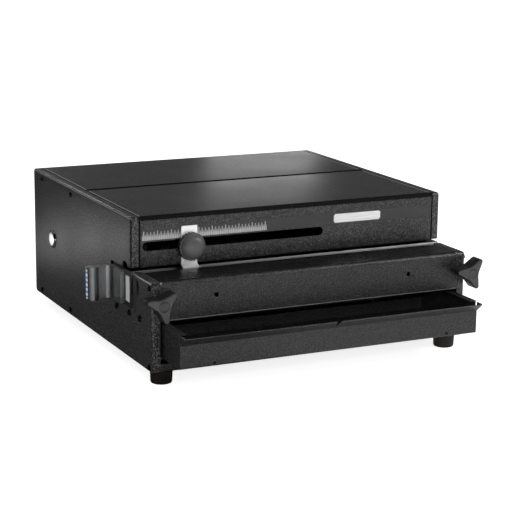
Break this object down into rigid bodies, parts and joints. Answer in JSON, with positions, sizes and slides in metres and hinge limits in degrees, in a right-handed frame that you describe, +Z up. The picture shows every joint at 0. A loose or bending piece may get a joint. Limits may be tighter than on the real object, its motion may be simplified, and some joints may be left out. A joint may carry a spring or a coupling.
{
  "type": "electric binding punch",
  "caption": "Counter-top electric paper punch for binding, with a sliding die set, clamp star knobs, a paper stop and a chip drawer pulled out in front",
  "frame": {"origin": "middle of the footprint of the whole machine as posed, on the counter", "axes": "+X to the operator's right, +Y to the back, +Z up; the pull handle is at -X and the chip drawer at -Y"},
  "size_m": [0.5076, 0.5366, 0.2033],
  "materials": {
    "black_coat": "fine textured black powder coat",
    "satin_steel": "satin ground steel",
    "tool_steel": "ground tool steel, lightly oiled",
    "die_alloy": "milled light grey alloy",
    "handle_alloy": "dark anodised extrusion",
    "bright_chrome": "polished chrome",
    "screw_black": "black oxide screws",
    "knob_plastic": "moulded black plastic",
    "switch_plastic": "smooth black plastic",
    "foot_rubber": "brownish black rubber",
    "strip_film": "printed dark film with ruler ticks",
    "badge_film": "blank plate",
    "drive_steel": "turned and hobbed steel",
    "bearing_bronze": "oiled bronze",
    "cast_alloy": "cast alloy",
    "motor_paint": "dark grey motor paint",
    "board_green": "green circuit board"
  },
  "bodies": {
    "housing": {"side_panel_left": "black_coat", "side_panel_right": "black_coat", "hole_plug": "bright_chrome", "front_cover": "black_coat", "rear_top_cover": "black_coat", "rear_panel": "black_coat", "base_pan": "black_coat", "front_table": "black_coat", "ruler_strip": "strip_film", "badge_plate": "badge_film", "foot_screws": "drive_steel", "panel_screws": "screw_black", "bed_screws": "screw_black", "rear_bed_bar": "tool_steel", "front_bed_bar": "tool_steel", "clamp_bushes": "drive_steel", "drawer_runner_left": "black_coat", "drawer_runner_right": "black_coat", "bearing_plate_left": "drive_steel", "bearing_plate_right": "drive_steel", "crank_bearings": "bearing_bronze", "ram_guides": "cast_alloy", "stop_switch": "switch_plastic", "motor_bracket": "drive_steel", "gearbox": "cast_alloy", "motor": "motor_paint", "power_inlet": "switch_plastic", "switch_housing": "switch_plastic", "footswitch_jack": "switch_plastic", "control_board": "board_green", "foot_front_left": "foot_rubber", "foot_front_right": "foot_rubber", "foot_rear_left": "foot_rubber", "foot_rear_right": "foot_rubber"},
    "die_set": {"die_plate": "tool_steel", "die_guide_block": "tool_steel", "die_base": "die_alloy", "die_end_plates": "die_alloy", "die_handle": "handle_alloy"},
    "pin_row": {"pin_retainer": "tool_steel", "punch_pins": "tool_steel"},
    "ram": {"ram_bar": "tool_steel", "yokes": "drive_steel"},
    "crank": {"crankshaft": "drive_steel", "eccentrics": "drive_steel", "eccentric_bearings": "drive_steel", "crank_gear": "drive_steel", "timing_cam": "drive_steel"},
    "pinion": {"drive_pinion": "drive_steel"},
    "drawer": {"chip_drawer": "black_coat"},
    "paper_stop": {"edge_guide": "satin_steel", "guide_nut": "drive_steel"},
    "stop_knob": {"guide_knob": "knob_plastic"},
    "clamp_left": {"star_knob_left": "knob_plastic", "clamp_screw_left": "drive_steel"},
    "clamp_right": {"star_knob_right": "knob_plastic", "clamp_screw_right": "drive_steel"},
    "rocker": {"power_rocker": "switch_plastic"}
  },
  "joints": [
    {"name": "drawer_slide", "type": "slide", "parent": "housing", "child": "drawer", "axis": [0, -1, 0], "range_m": [-0.056, 0.075]},
    {"name": "die_slide", "type": "slide", "parent": "housing", "child": "die_set", "axis": [-1, 0, 0], "range_m": [0, 0.43]},
    {"name": "pin_stroke", "type": "slide", "parent": "die_set", "child": "pin_row", "axis": [0, -1, 0], "range_m": [0, 0.012]},
    {"name": "crank_turn", "type": "hinge", "parent": "housing", "child": "crank", "pos_m": [0.01417, -0.00575, 0.11], "axis": [1, 0, 0], "range_deg": [0, 180]},
    {"name": "ram_stroke", "type": "slide", "parent": "housing", "child": "ram", "axis": [0, -1, 0], "range_m": [0, 0.012]},
    {"name": "pinion_turn", "type": "hinge", "parent": "housing", "child": "pinion", "pos_m": [0.13217, 0.04102, 0.083], "axis": [1, 0, 0], "range_deg": [-900, 0]},
    {"name": "paper_stop_slide", "type": "slide", "parent": "housing", "child": "paper_stop", "axis": [1, 0, 0], "range_m": [-0.0555, 0.1892]},
    {"name": "stop_knob_turn", "type": "hinge", "parent": "paper_stop", "child": "stop_knob", "pos_m": [-0.13323, -0.12975, 0.161], "axis": [0, -1, 0], "range_deg": [0, 540]},
    {"name": "clamp_left_turn", "type": "hinge", "parent": "housing", "child": "clamp_left", "pos_m": [-0.20883, -0.22875, 0.11], "axis": [0, -1, 0], "range_deg": [0, 1080]},
    {"name": "clamp_right_turn", "type": "hinge", "parent": "housing", "child": "clamp_right", "pos_m": [0.23717, -0.22875, 0.11], "axis": [0, -1, 0], "range_deg": [0, 1080]},
    {"name": "power_rocker_tip", "type": "hinge", "parent": "housing", "child": "rocker", "pos_m": [-0.09383, 0.25725, 0.06], "axis": [-1, 0, 0], "range_deg": [0, 20]}
  ],
  "couplings": [
    {"joint": "ram_stroke", "follows": "crank_turn", "m_per_rad": 0.0038197},
    {"joint": "pin_stroke", "follows": "crank_turn", "m_per_rad": 0.0038197},
    {"joint": "pinion_turn", "follows": "crank_turn", "ratio": -5}
  ]
}
